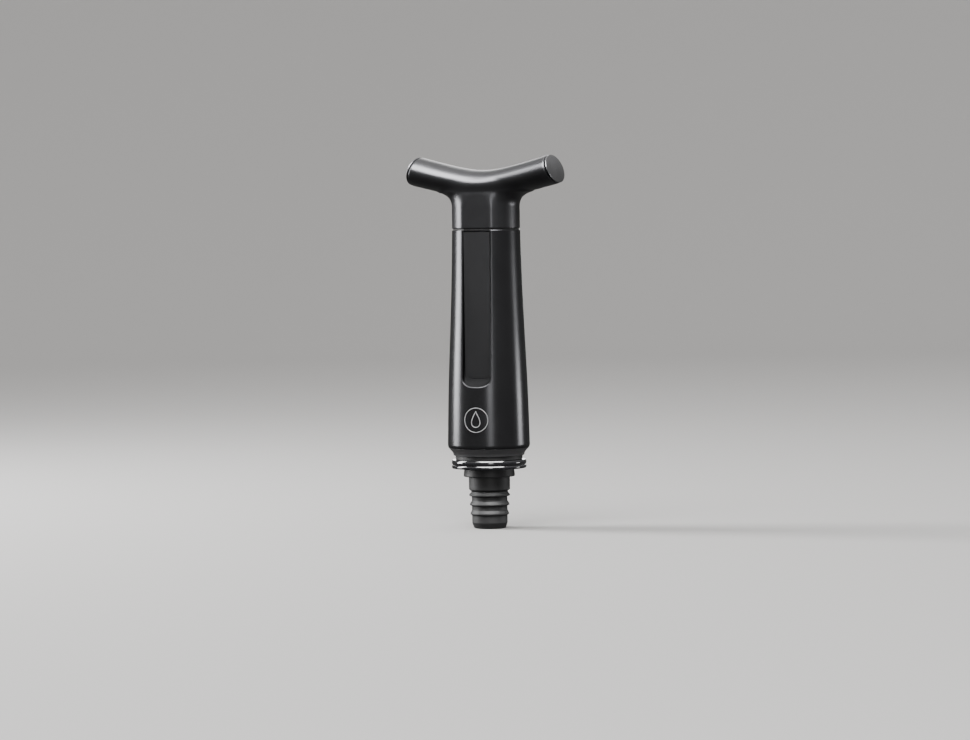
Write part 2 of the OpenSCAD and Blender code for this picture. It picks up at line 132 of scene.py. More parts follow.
boss_h = 6.7
flange_top = highest("stopper_upper_ring").z - boss_h
flange_h = 4.0
flange_r = 17.4
collar_top = flange_top - flange_h
ring_split = collar_top + 0.4 * flange_h
ring_gap = 0.05
head_top = collar_top + 3.2
port_r = 2.5
foot_z = lowest("base_ring").z
mouth_r = 12.5
seal_r = 11.25


# ---------------------------------------------------------------- meshes

def new_piece(name, vertices, faces, body, material, replaces=()):
    """A smooth mesh in mm becomes a piece in metres that rides on a body."""
    mesh = bpy.data.meshes.new(name)
    mesh.from_pydata([tuple(v) for v in np.asarray(vertices, float) * MM], [], faces)
    mesh.validate()
    piece = bpy.data.objects.new(name, mesh)
    scene.collection.objects.link(piece)
    mesh.polygons.foreach_set("use_smooth", [True] * len(mesh.polygons))
    mesh.materials.append(material)
    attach(piece, body)
    if replaces:
        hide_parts(*replaces)
    return piece


def outward(piece, weld=False):
    """Turns every face of a closed mesh to look outwards, and welds points that coincide if asked."""
    work = bmesh.new()
    work.from_mesh(piece.data)
    if weld:
        bmesh.ops.remove_doubles(work, verts=work.verts, dist=1e-7)
    bmesh.ops.recalc_face_normals(work, faces=work.faces)
    work.to_mesh(piece.data)
    work.free()
    return piece


def crisp(piece, angle=40):
    """Keeps corners above this angle sharp, and evens out the shading of flats beside small rounds."""
    piece.data.set_sharp_from_angle(angle=math.radians(angle))
    weighted = piece.modifiers.new("even_shading", "WEIGHTED_NORMAL")
    weighted.keep_sharp = True
    return piece


def bands(rows, count):
    """Quads between neighbouring rows, where each row is a closed loop of this many points."""
    return [
        (k * count + i, k * count + (i + 1) % count, (k + 1) * count + (i + 1) % count, (k + 1) * count + i)
        for k in range(rows - 1) for i in range(count)
    ]


def rounded(outline, radius, steps=5):
    """Rounds the corners of a closed outline. A corner's third value is its own radius. A corner that
    is nearly straight, or on the axis or left of it, stays as it is."""
    nearly_straight = math.radians(172)
    side_share = 0.46
    points = []
    count = len(outline)
    for i, corner in enumerate(outline):
        here = Vector(corner[:2])
        size = corner[2] if len(corner) > 2 else radius
        before = Vector(outline[i - 1][:2]) - here
        after = Vector(outline[(i + 1) % count][:2]) - here
        bend = before.angle(after)
        if size == 0 or here.x < 1e-6 or bend > nearly_straight:
            points.append(tuple(here))
            continue
        reach = min(size / math.tan(bend / 2), side_share * before.length, side_share * after.length)
        size = reach * math.tan(bend / 2)
        middle = here + (before.normalized() + after.normalized()).normalized() * size / math.sin(bend / 2)
        start = here + before.normalized() * reach - middle
        end = here + after.normalized() * reach - middle
        sweep = start.angle(end)
        for k in range(steps + 1):
            t = k / steps
            arm = (start * math.sin((1 - t) * sweep) + end * math.sin(t * sweep)) / math.sin(sweep)
            points.append(tuple(middle + arm))
    return points


def turned(name, outline, body, material, replaces=(), radius=0.2, segments=192):
    """A turned piece from its closed half outline of (radius, height)."""
    ring = rounded(outline, radius)
    count = len(ring)
    vertices = []
    for k in range(segments):
        a = 2 * math.pi * k / segments
        vertices += [(r * math.cos(a), r * math.sin(a), z) for r, z in ring]
    faces = [
        (k * count + i, ((k + 1) % segments) * count + i,
         ((k + 1) % segments) * count + (i + 1) % count, k * count + (i + 1) % count)
        for k in range(segments) for i in range(count)
    ]
    piece = new_piece(name, vertices, faces, body, material, replaces)
    return crisp(outward(piece, weld=True))


def smooth_max(a, b, radius):
    """The larger of two distances, with the corner between their surfaces rounded off."""
    overlap = np.maximum(radius - np.abs(a - b), 0) / radius
    return np.maximum(a, b) + overlap * overlap * radius / 4


def smooth_min(a, b, radius):
    """The smaller of two distances, rounded in the same way."""
    return -smooth_max(-a, -b, radius)


def skin(name, field, xs, ys, zs, body, material, replaces=()):
    """The smooth surface where field(x, y, z) is 0, on a grid of the lines xs, ys and zs: one vertex
    in each grid cell that the surface crosses, then moved onto the surface."""
    xs, ys, zs = (np.asarray(s, float) for s in (xs, ys, zs))
    gx, gy, gz = np.meshgrid(xs, ys, zs, indexing="ij")
    value = field(gx, gy, gz)
    inside = value < 0
    shape = tuple(n - 1 for n in value.shape)
    total = np.zeros(shape + (3,))
    hits = np.zeros(shape)
    grid = np.stack([gx, gy, gz], -1)
    crossings = []
    for axis in range(3):
        low = [slice(None)] * 3
        high = [slice(None)] * 3
        low[axis] = slice(0, -1)
        high[axis] = slice(1, None)
        low, high = tuple(low), tuple(high)
        crossed = inside[low] != inside[high]
        crossings.append(crossed)
        a, b = value[low], value[high]
        t = np.where(crossed, a / np.where(crossed, a - b, 1), 0)[..., None]
        point = (grid[low] * (1 - t) + grid[high] * t) * crossed[..., None]
        others = [i for i in range(3) if i != axis]
        for shift_a in (0, 1):
            for shift_b in (0, 1):
                part = [slice(None)] * 3
                for other, shift in zip(others, (shift_a, shift_b)):
                    part[other] = slice(shift, shift + shape[other])
                part = tuple(part)
                total += point[part]
                hits += crossed[part]
    active = hits > 0
    index = -np.ones(shape, int)
    index[active] = np.arange(active.sum())
    vertices = total[active] / hits[active][:, None]
    faces = []
    for axis in range(3):
        others = [i for i in range(3) if i != axis]
        where = np.argwhere(crossings[axis])
        keep = np.all([(where[:, o] > 0) & (where[:, o] < shape[o]) for o in others], axis=0)
        where = where[keep]
        corners = []
        for step_a, step_b in ((1, 1), (0, 1), (0, 0), (1, 0)):
            cell = where.copy()
            cell[:, others[0]] -= step_a
            cell[:, others[1]] -= step_b
            corners.append(index[tuple(cell.T)])
        quads = np.stack(corners, 1)
        flip = inside[tuple(where.T)] == (axis == 1)
        quads[flip] = quads[flip][:, ::-1]
        faces += quads.tolist()
    reach, least_slope, longest_step = 0.02, 0.2, 0.3
    for _ in range(5):
        x, y, z = vertices.T
        here = field(x, y, z)
        slope = np.stack([
            field(x + reach, y, z) - field(x - reach, y, z),
            field(x, y + reach, z) - field(x, y - reach, z),
            field(x, y, z + reach) - field(x, y, z - reach),
        ], 1) / (2 * reach)
        step = -(here / np.maximum((slope ** 2).sum(1), least_slope))[:, None] * slope
        vertices = vertices + np.clip(step, -longest_step, longest_step)
    return new_piece(name, vertices, faces, body, material, replaces)


# ---------------------------------------------------------------- materials

DRIFT_MM = 9.0
SMUDGE_MM = 3.5
GRAIN_DEPTH_MM = 0.02
COAT_ROUGHNESS = 0.08
EDGE_POINTINESS = (0.53, 0.62)
WORN_GAIN = 2.6
WORN_LIFT = 0.03


def noise(tree, coords, size_mm, detail=3.0):
    """Noise in the object's own space, with features of about this size."""
    node = tree.nodes.new("ShaderNodeTexNoise")
    node.inputs["Scale"].default_value = 1 / (size_mm * MM)
    node.inputs["Detail"].default_value = detail
    tree.links.new(coords, node.inputs["Vector"])
    return node.outputs["Fac"]


def mapped(tree, value, low, high, start=0.35, end=0.65):
    """Stretches the value's middle range to low..high."""
    node = tree.nodes.new("ShaderNodeMapRange")
    node.inputs["From Min"].default_value = start
    node.inputs["From Max"].default_value = end
    node.inputs["To Min"].default_value = low
    node.inputs["To Max"].default_value = high
    tree.links.new(value, node.inputs["Value"])
    return node.outputs["Result"]


def mixed(tree, kind, factor):
    """A Mix node of this data type, whose factor comes from a socket."""
    node = tree.nodes.new("ShaderNodeMix")
    node.data_type = kind
    tree.links.new(factor, node.inputs["Factor"])
    return node


def finish_of(name, colour, roughness, metallic=0.0, grain_mm=0.12, grain=0.06, spread=0.12,
              wear=0.0, coat=0.0, stretch=(1, 1, 1), alpha=1.0, ior=1.5, wander=0.03):
    """A surface with colour drift, uneven gloss, fine grain and a little wear on its edges."""
    material = bpy.data.materials.new(name)
    material.use_nodes = True
    tree = material.node_tree
    shader = tree.nodes["Principled BSDF"]
    shader.inputs["Metallic"].default_value = metallic
    shader.inputs["Coat Weight"].default_value = coat
    shader.inputs["Coat Roughness"].default_value = COAT_ROUGHNESS
    shader.inputs["IOR"].default_value = ior
    shader.inputs["Alpha"].default_value = alpha
    place = tree.nodes.new("ShaderNodeTexCoord").outputs["Object"]
    lean = tree.nodes.new("ShaderNodeMapping")
    lean.inputs["Scale"].default_value = stretch
    tree.links.new(place, lean.inputs["Vector"])
    tone = mixed(tree, "RGBA", mapped(tree, noise(tree, place, DRIFT_MM), 0.0, 1.0))
    tone.inputs["A"].default_value = tuple(c * (1 - spread) for c in colour) + (1,)
    tone.inputs["B"].default_value = tuple(min(1, c * (1 + spread)) for c in colour) + (1,)
    result = tone.outputs["Result"]
    if wear:
        edge = tree.nodes.new("ShaderNodeNewGeometry").outputs["Pointiness"]
        worn = mixed(tree, "RGBA", mapped(tree, edge, 0.0, wear, *EDGE_POINTINESS))
        tree.links.new(result, worn.inputs["A"])
        bare = tuple(min(1, c * WORN_GAIN + WORN_LIFT) for c in colour)
        worn.inputs["B"].default_value = bare + (1,)
        result = worn.outputs["Result"]
    tree.links.new(result, shader.inputs["Base Color"])
    fine = noise(tree, lean.outputs["Vector"], grain_mm, 4.0)
    smudge = noise(tree, place, SMUDGE_MM, 5.0)
    gloss = tree.nodes.new("ShaderNodeMath")
    gloss.operation = "ADD"
    tree.links.new(mapped(tree, fine, roughness - wander, roughness + wander), gloss.inputs[0])
    tree.links.new(mapped(tree, smudge, -wander / 2, wander / 2), gloss.inputs[1])
    tree.links.new(gloss.outputs["Value"], shader.inputs["Roughness"])
    bump = tree.nodes.new("ShaderNodeBump")
    bump.inputs["Strength"].default_value = grain
    bump.inputs["Distance"].default_value = GRAIN_DEPTH_MM * MM
    tree.links.new(fine, bump.inputs["Height"])
    tree.links.new(bump.outputs["Normal"], shader.inputs["Normal"])
    return material


def with_painted_shade(material, attribute, colour, roughness):
    """Paints shade into the finish where the mesh's attribute is 1: the darker colour is painted shade, and the
    higher roughness makes the surface matt.
    """
    tree = material.node_tree
    shader = tree.nodes["Principled BSDF"]
    share = tree.nodes.new("ShaderNodeAttribute")
    share.attribute_name = attribute
    for name, kind, value in (("Base Color", "RGBA", colour + (1,)), ("Roughness", "FLOAT", roughness)):
        socket = shader.inputs[name]
        mix = mixed(tree, kind, share.outputs["Fac"])
        tree.links.new(socket.links[0].from_socket, mix.inputs["A"])
        mix.inputs["B"].default_value = value
        tree.links.new(mix.outputs["Result"], socket)
    return material


ANODISED = dict(metallic=0.92, spread=0.05, wear=0.2, wander=0.015)
CASING_METAL = dict(ANODISED, colour=(0.046, 0.046, 0.0485), roughness=0.25, grain_mm=0.1, grain=0.08)

gunmetal = finish_of("gunmetal", **CASING_METAL)
# The recess's walls and sill are painted near-black where they sink below the casing's wall: painted shade.
casing_metal_with_painted_shade = with_painted_shade(finish_of("casing_metal_with_painted_shade", **CASING_METAL), "painted_recess_shade", (0.002, 0.002, 0.0022), 0.62)
grip_metal = finish_of("grip_metal", (0.054, 0.054, 0.057), 0.32, grain_mm=0.1, grain=0.10, **ANODISED)
# The end caps' metal is lighter than the grip's: painted light, standing in for the lamp light that their end
# faces reflect.
cap_metal_painted_light = finish_of("cap_metal_painted_light", (0.15, 0.15, 0.155), 0.3, metallic=0.92, grain_mm=0.12, grain=0.14,
                       spread=0.06, wear=0.25, wander=0.02)
inlay_black = finish_of("inlay_black", (0.004, 0.004, 0.0045), 0.46, grain_mm=0.18, grain=0.3,
                        spread=0.1, ior=1.4)
foot_black = finish_of("foot_black", (0.03, 0.03, 0.0315), 0.32, ior=1.6, grain_mm=0.12, grain=0.10,
                       spread=0.06, wear=0.1, wander=0.02)
ring_black = finish_of("ring_black", (0.006, 0.006, 0.007), 0.12, grain_mm=0.4, grain=0.03, coat=0.6,
                       ior=1.6, wander=0.015)
rubber = finish_of("rubber", (0.008, 0.008, 0.0085), 0.55, grain_mm=0.2, grain=0.35)
silicone = finish_of("silicone", (0.22, 0.02, 0.03), 0.42, grain_mm=0.25, grain=0.2)
moulded_black = finish_of("moulded_black", (0.02, 0.02, 0.022), 0.45, grain_mm=0.16, grain=0.3)
moulded_grey = finish_of("moulded_grey", (0.32, 0.32, 0.33), 0.42, grain_mm=0.16, grain=0.25)
acetal = finish_of("acetal", (0.68, 0.66, 0.60), 0.38, grain_mm=0.2, grain=0.2)
smoky = finish_of("smoky", (0.30, 0.31, 0.32), 0.18, grain_mm=0.5, grain=0.05, alpha=0.6)
steel = finish_of("steel", (0.56, 0.56, 0.57), 0.20, metallic=1.0, grain_mm=0.08, grain=0.2,
                  stretch=(1, 1, 0.05))
print_grey = finish_of("print_grey", (0.15, 0.15, 0.155), 0.45, grain_mm=0.08, grain=0.2)

CAD_FINISH = {
    "stopper_plug": rubber, "stopper_lower_ring": ring_black, "stopper_upper_ring": ring_black,
    "valve_cage": moulded_grey, "stopper_valve": silicone, "base_ring": foot_black, "mouth_seal": rubber,
    "barrel_o_ring": rubber, "pump_barrel": smoky, "barrel_cap": moulded_black, "rod_bush": acetal,
    "bump_washer": rubber, "outer_sleeve": gunmetal, "front_inlay": inlay_black, "rear_inlay": inlay_black,
    "landing_ring": rubber, "handle_grip": grip_metal, "left_end_cap": cap_metal_painted_light,
    "right_end_cap": cap_metal_painted_light, "neck_plate": moulded_black, "neck_screws": steel, "piston_rod": steel,
    "piston_head": moulded_black, "piston_seal": silicone, "piston_screw": steel, "stop_clip": steel,
    "piston_valve_disc": silicone,
}
for node, finish in CAD_FINISH.items():
    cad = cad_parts[node]
    cad.data.materials.clear()
    cad.data.materials.append(finish)


# ---------------------------------------------------------------- casing and its inlays

def wall_radius(z):
    """The tapered wall: t is 0 at its top and 1 at its foot."""
    t = np.clip((casing_top - z) / casing_h, 0, 1)
    taper = t - casing_swell * np.sin(2 * np.pi * t)
    return (casing_upper_d + (casing_lower_d - casing_upper_d) * taper) / 2


def casing_radius(z):
    """The wall, which rolls over into the foot at its lower edge."""
    t = np.clip((z - foot_z) / (casing_z + edge_h - foot_z), 0, 1)
    edge = foot_r + (wall_radius(casing_z + edge_h) - foot_r) * (t - edge_bend * np.sin(2 * np.pi * t))
    return np.where(z < casing_z + edge_h, edge, wall_radius(z))


def plate_field(x, z, width, low, high, corner):
    """Distance to a flat outline with two round lower corners."""
    middle = (low + high) / 2
    qx = np.abs(x) - width / 2
    qz = np.abs(z - middle) - (high - low) / 2
    straight = np.minimum(np.maximum(qx, qz), 0) + np.hypot(np.maximum(qx, 0), np.maximum(qz, 0))
    rx, rz = qx + corner, low + corner - z
    curved = np.hypot(rx, rz) - corner
    return np.where((rx > 0) & (rz > 0), curved, straight)


sill_r = float(casing_radius(recess_z))
slot_low = recess_z + (sill_r - recess_face) * sill_slope + sill_margin
slot_high = casing_top - 0.9
slot_w = recess_w - 0.6


def casing_field(x, y, z):
    """The casing: tapered wall, two recesses with a sloping sill, and a slot for the inlay in each."""
    r = np.hypot(x, y)
    solid = smooth_max(r - casing_radius(z), z - casing_top, 0.5)
    solid = smooth_max(solid, casing_z - z, 0.15)
    depth = np.abs(y)
    pocket = plate_field(x, z, recess_w, recess_z, casing_top + 6, recess_corner)
    pocket = np.maximum(pocket, recess_face - depth)
    pocket = smooth_max(pocket, recess_z + (sill_r - depth) * sill_slope - z, sill_round)
    slot = plate_field(x, z, slot_w, slot_low, slot_high, inlay_corner + slot_gap)
    slot = np.maximum(slot, recess_face - slot_depth - depth)
    solid = smooth_max(solid, -pocket, recess_rim)
    solid = smooth_max(solid, -slot, 0.2)
    hollow = np.maximum(r - casing_hollow_r, z - (casing_top - roof_t))
    return np.maximum(np.maximum(solid, -hollow), roof_hole_r - r)


def spaced(*stretches):
    """Grid lines: each stretch is (from, to, step)."""
    lines = [np.linspace(a, b, max(2, round((b - a) / step) + 1))[:-1] for a, b, step in stretches]
    return np.concatenate(lines + [[stretches[-1][1]]])


# The grid is fine where the recess's walls, sill and floor and the casing's edges are
half = casing_lower_d / 2 + 0.6
wall_in, wall_out, floor_in = 6.0, 7.6, 12.6
across = spaced((-half, -wall_out, 0.6), (-wall_out, -wall_in, 0.2), (-wall_in, wall_in, 0.6),
                (wall_in, wall_out, 0.2), (wall_out, half, 0.6))
through = spaced((-half, -floor_in, 0.3), (-floor_in, floor_in, 0.7), (floor_in, half, 0.3))
upright = spaced((casing_z - 0.6, casing_z + 2.0, 0.13), (casing_z + 2.0, recess_z - 1.5, 1.4),
                 (recess_z - 1.5, slot_low + 3, 0.25), (slot_low + 3, casing_top - 2.0, 1.4),
                 (casing_top - 2.0, casing_top + 0.6, 0.15))
casing = skin("casing_shell", casing_field, across, through, upright, "pump", casing_metal_with_painted_shade,
              ["outer_sleeve"])


def mark_painted_shade(piece):
    """Marks the walls and the sill of the recess for painted shade: a near-black, matt colour that stands in for
    the shade there. It fades in as the surface sinks below the casing's round wall."""
    fade_from, fade_over = 0.03, 0.3
    count = len(piece.data.vertices)
    points = np.zeros(3 * count)
    piece.data.vertices.foreach_get("co", points)
    x, y, z = points.reshape(-1, 3).T / MM
    sunk = np.clip((casing_radius(z) - np.hypot(x, y) - fade_from) / fade_over, 0, 1)
    outside = np.abs(y) > casing_hollow_r + 0.5
    in_recess = (np.abs(x) < recess_w / 2 + 0.5) & outside & (z > recess_z - 1)
    painted_recess_shade = piece.data.attributes.new("painted_recess_shade", "FLOAT", "POINT")
    painted_recess_shade.data.foreach_set("value", sunk * in_recess)


mark_painted_shade(casing)


def inlay(name, side, node):
    """Thin panel in the recess, with softened edges. Side is -1 at the front and 1 at the rear. Both lower
    corners are rounded to fit the slot, and the upper ones only a little."""
    width, low, high = slot_w - 2 * slot_gap, slot_low + slot_gap, slot_high - slot_gap
    outline = rounded([(-width / 2, high), (-width / 2, low, inlay_corner), (width / 2, low, inlay_corner),
                       (width / 2, high)], 0.25, 8)
    # Height over the slot's floor and inset of each layer, from the back of the panel to its face
    layers = [(0.0, 0.12), (0.12, 0.0), (0.68, 0.0), (0.78, 0.03), (0.8, 0.14)]
    base = recess_face - slot_depth + 0.02
    centre = np.array([0, (low + high) / 2])
    size = np.array([width / 2, (high - low) / 2])
    vertices = []
    for out, inset in layers:
        for p in outline:
            x, z = centre + (np.array(p) - centre) * (size - inset) / size
            vertices.append((x * -side, side * (base + out), z))
    count = len(outline)
    faces = bands(len(layers), count)
    faces.append(tuple(range(count)))
    faces.append(tuple(range((len(layers) - 1) * count, len(layers) * count)))
    piece = new_piece(name, vertices, faces, "pump", inlay_black, [node])
    return crisp(outward(piece), 30)


inlay("inlay_front", -1, "front_inlay")
inlay("inlay_rear", 1, "rear_inlay")


def printed_line(name, outline, line):
    """Thin closed line of print on the casing's front, along an outline of (x, height)."""
    half_t = 0.03
    count = len(outline)
    vertices = []
    for lift in (half_t, -half_t):
        for side in (0.5, -0.5):
            for k, (x, z) in enumerate(outline):
                ahead = Vector(outline[(k + 1) % count]) - Vector(outline[k - 1])
                ahead.normalize()
                px, pz = x + side * line * ahead.y, z - side * line * ahead.x
                r = float(casing_radius(pz)) + lift
                vertices.append((px, -math.sqrt(r * r - px * px), pz))
    faces = []
    for k in range(count):
        j = (k + 1) % count
        for a, b in ((0, 1), (1, 3), (3, 2), (2, 0)):
            faces.append((a * count + k, a * count + j, b * count + j, b * count + k))
    return outward(new_piece(name, vertices, faces, "pump", print_grey))


turns = [2 * math.pi * k / 120 for k in range(120)]
printed_line("mark_ring", [(mark_r * math.sin(a), mark_z + mark_r * math.cos(a)) for a in turns], mark_line)
printed_line("mark_drop", [
    (drop_half_w * math.sin(a) * math.sin(a / 2) ** 1.5, mark_z + drop_rise + drop_half_h * math.cos(a))
    for a in turns[1:]
], drop_line)


# ---------------------------------------------------------------- handle

def bar_centre(x):
    """Height of the bar's centre line: two sloping arms with a round valley between them."""
    return bar_z + np.sqrt(valley_round ** 2 + (arm_slope * x) ** 2) - valley_round


def bar_half_depth(x):
    """Half of the bar's depth from front to back, which is less towards its ends."""
    return bar_mid_r - (bar_mid_r - bar_end_r) * (x / grip_x) ** 2


def oval_field(a, b, half_a, half_b, power):
    """Distance along the ray from the middle to the edge of a superellipse."""
    g = ((np.abs(a) / half_a) ** power + (np.abs(b) / half_b) ** power) ** (1 / power)
    g = np.maximum(g, 1e-6)
    return (g - 1) * np.hypot(a, b) / g


def bar_place(x, z):
    """Station along the bar, and height over its centre line, where the sections slant as the ends do."""
    s = x
    for _ in range(6):
        s = x + math.tan(end_slant) * s / grip_x * (z - bar_centre(s))
    return s, z - bar_centre(s)


def neck_end(x):
    """Height where the neck ends inside the bar. It drops under the arms, so that no crease shows there."""
    rise, drop, drop_from, drop_over = 0.3, 3.2, 7, 10
    return bar_z + rise - drop * np.clip((np.abs(x) - drop_from) / drop_over, 0, 1) ** 1.5


def room(r, z, size):
    """Round room in the neck, open at its foot, of this radius and height."""
    return np.maximum(r - size[0], z - neck_z - size[1])


def grip_field(x, y, z):
    """The handle: a bar on a neck that flares out under it, with two flats and the rooms in its foot."""
    s, up = bar_place(x, z)
    bar = oval_field(y, up, bar_half_depth(np.clip(s, -grip_x, grip_x)), half_h, bar_power)
    bar = smooth_max(bar, (np.abs(s) - grip_x) * math.cos(end_slant), 0.7)
    turn = np.arcsin(np.clip((z - flare_z) / flare_r, 0, math.sin(flare_turn)))
    share = turn / flare_turn
    neck = oval_field(x, y, neck_r + flare_r * (1 - np.cos(turn)), neck_r - neck_thinning * share,
                      2 + flare_squareness * share)
    neck = smooth_max(neck, np.abs(y) - recess_face, 0.5)
    neck = smooth_max(neck, z - neck_end(x), neck_end_round)
    solid = smooth_min(bar, neck, neck_blend)
    solid = smooth_max(solid, neck_z - z, 0.5)
    r = np.hypot(x, y)
    solid = smooth_max(solid, -room(r, z, plate_room), 0.2)
    solid = np.maximum(solid, -room(r, z, rod_flange_room))
    return np.maximum(solid, -room(r, z, rod_room))


grip_step = 0.5
grip_reach_x, grip_reach_y = 38.2, 16.6
skin("grip", grip_field, np.arange(-grip_reach_x, grip_reach_x + 0.01, grip_step),
     np.arange(-grip_reach_y, grip_reach_y + 0.01, grip_step),
     spaced((neck_z - 0.6, neck_z + 3, 0.2), (neck_z + 3, bar_z + 16, grip_step)),
     "handle", grip_metal, ["handle_grip"])


def cap_ring(size, out, count=144):
    """Ring of points round the bar's right end, scaled and moved out along the end face's normal."""
    def oval(share, radius):
        return radius * size * math.copysign(abs(share) ** (2 / bar_power), share)

    ring = []
    for i in range(count):
        a = 2 * math.pi * i / count
        y, up = oval(math.cos(a), bar_end_r), oval(math.sin(a), half_h)
        ring.append((grip_x - math.tan(end_slant) * up + out * math.cos(end_slant), y,
                     float(bar_centre(grip_x)) + up + out * math.sin(end_slant)))
    return ring


def end_cap(name, side, node):
    """Domed cap with a rounded rim. Side is 1 at the right and -1 at the left."""
    # Size of each ring, and its height over the end face, from the cap's foot to the crown of its dome
    rim = [(0.5, 0.35), (0.90, 0.35), (0.945, 0.42), (0.968, 0.55), (0.978, 0.68), (0.98, 0.76)]
    rim += [(0.98 - 0.05 * (1 - math.cos(a)), 0.82 + 0.3 * math.sin(a))
            for a in np.radians(range(0, 66, 13))]
    dome_size, dome_foot = rim[-1]
    dome_h = 1.02
    crown = [(dome_size * (1 - t), dome_foot + dome_h * (1 - (1 - t) ** 2)) for t in np.arange(1, 12) / 12]
    rings = [cap_ring(*p) for p in rim + crown]
    count = len(rings[0])
    vertices = [p for ring in rings for p in ring]
    faces = bands(len(rings), count)
    for k, out in ((0, rim[0][1]), (len(rings) - 1, crown[-1][1] + 0.001)):
        vertices.append(cap_ring(0, out)[0])
        faces += [(len(vertices) - 1, k * count + i, k * count + (i + 1) % count) for i in range(count)]
    vertices = [(x * side, y, z) for x, y, z in vertices]
    piece = new_piece(name, vertices, faces, "handle", cap_metal_painted_light, [node])
    return outward(piece)


end_cap("cap_right", 1, "right_end_cap")
end_cap("cap_left", -1, "left_end_cap")


# ---------------------------------------------------------------- foot and stopper

def foot_outline():
    """Chamfered foot with its spigot in the casing, and the floor between the barrel and the mouth."""
    top, spigot_r, spigot_top = casing_z - 0.05, 16.5, casing_z + 13.2
    barrel_r, air_port_r, floor_low, floor_top = 11.8, 3, casing_z + 4.7, casing_z + 7.2
    edge = [(float(casing_radius(z)), z, 0) for z in np.linspace(foot_z + 0.25, top - 0.1, 16)]
    return (
        [(mouth_r, foot_z), (foot_r, foot_z, 0.2)] + edge
        + [(float(casing_radius(top)), top, 0.1), (spigot_r, top), (spigot_r, spigot_top)]
        + [(barrel_r, spigot_top), (barrel_r, floor_top), (air_port_r, floor_top), (air_port_r, floor_low)]
        + [(mouth_r, floor_low)]
    )


def mouth_outline():
    """Soft lining of the mouth, with the lip that shows above the rings."""
    lip_r, lip_low, top = 15.6, flange_top + 0.05, foot_z + 7.8
    return [
        (seal_r, lip_low, 0.5), (lip_r, lip_low, 0.35), (lip_r, foot_z - 0.05, 0.3),
        (mouth_r - 0.05, foot_z - 0.05), (mouth_r - 0.05, top), (seal_r, top),
    ]


def crowned(low, high, sag):
    """Outer face of a ring that bulges out in the middle, from its lower to its upper edge."""
    inner, middle, half_t = flange_r - sag - 0.25, (low + high) / 2, (high - low) / 2
    face = [(flange_r - sag * t * t, middle + t * half_t, 0) for t in np.linspace(-1, 1, 13)]
    return [(inner, low, 0.1)] + face + [(inner, high, 0.1)]


def upper_ring_outline():
    """Ring with the boss that enters the pump, the valve's chamber, and the groove for the lower ring."""
    low, boss_top, chamber_low = ring_split + 0.07, flange_top + boss_h, flange_top + 1.1
    boss_r, chamber_r, head_room_r = 11.1, 7, 12.1
    groove_in, groove_out, groove_top = 12.5, 14.3, ring_split + 1.25
    return (
        [(groove_out, low)] + crowned(low, flange_top, 0.4)
        + [(boss_r, flange_top), (boss_r, boss_top, 0.6), (chamber_r, boss_top), (chamber_r, chamber_low)]
        + [(port_r, chamber_low), (port_r, head_top + ring_gap), (head_room_r, head_top + ring_gap)]
        + [(head_room_r, low), (groove_in, low), (groove_in, groove_top), (groove_out, groove_top)]
    )


def lower_ring_outline():
    """Ring under the plug's head, with the lip that snaps into the upper ring."""
    low, top, lip_top = collar_top + ring_gap, ring_split - ring_gap, ring_split + 1.15
    hole_r, lip_in, lip_out = 9.1, 12.6, 14.2
    return (
        [(hole_r, low)] + crowned(low, top, 0.3)
        + [(lip_out, top), (lip_out, lip_top), (lip_in, lip_top), (lip_in, top), (hole_r, top)]
    )


def plug_outline():
    """Rubber plug: head in the rings, collar on the bottle's lip, sealing band, ribs and air passage."""
    head_r, shank_r, root_r, band_r, passage_r = 12, 9, 8.3, 9.6, 5.4
    ribs = []
    for i in range(3):
        z, r = -7 - 13 / 3 * i, 9.5 - 0.25 * i
        ribs += [(root_r, z, 0.4), (r, z - 1.4, 0.3), (r, z - 2.0, 0.3), (root_r, z - 2.4, 0.3)]
    return (
        [(port_r, head_top), (head_r, head_top), (head_r, ring_split + 0.06), (shank_r, ring_split + 0.06)]
        + [(shank_r, collar_top), (11.6, collar_top, 0.4), (12.0, 0.0, 0.4)]
        + [(band_r, 0), (band_r, -6, 0.3)] + ribs
        + [(root_r, -21.5, 0.6), (7.4, -24, 0.4), (passage_r, -24, 0.4), (passage_r, -4), (port_r, -3)]
    )


turned("foot", foot_outline(), "pump", foot_black, ["base_ring"])
turned("mouth_lip", mouth_outline(), "pump", rubber, ["mouth_seal"])
turned("ring_upper", upper_ring_outline(), "stopper", ring_black, ["stopper_upper_ring"])
turned("ring_lower", lower_ring_outline(), "stopper", ring_black, ["stopper_lower_ring"])
turned("plug", plug_outline(), "stopper", rubber, ["stopper_plug"])


# ---------------------------------------------------------------- stage, camera and light, in metres and degrees

CAMERA_AZIMUTH = 18.4
CAMERA_DISTANCE = 1.535
CAMERA_HEIGHT = 0.110
CAMERA_PITCH = 2.257
CAMERA_YAW = 0.0512
CAMERA_ROLL = -0.77
CAMERA_LENS = 122.5
FLOOR_GAP = 0.0002
SKY_LOW = 0.10
SKY_HIGH = 0.7


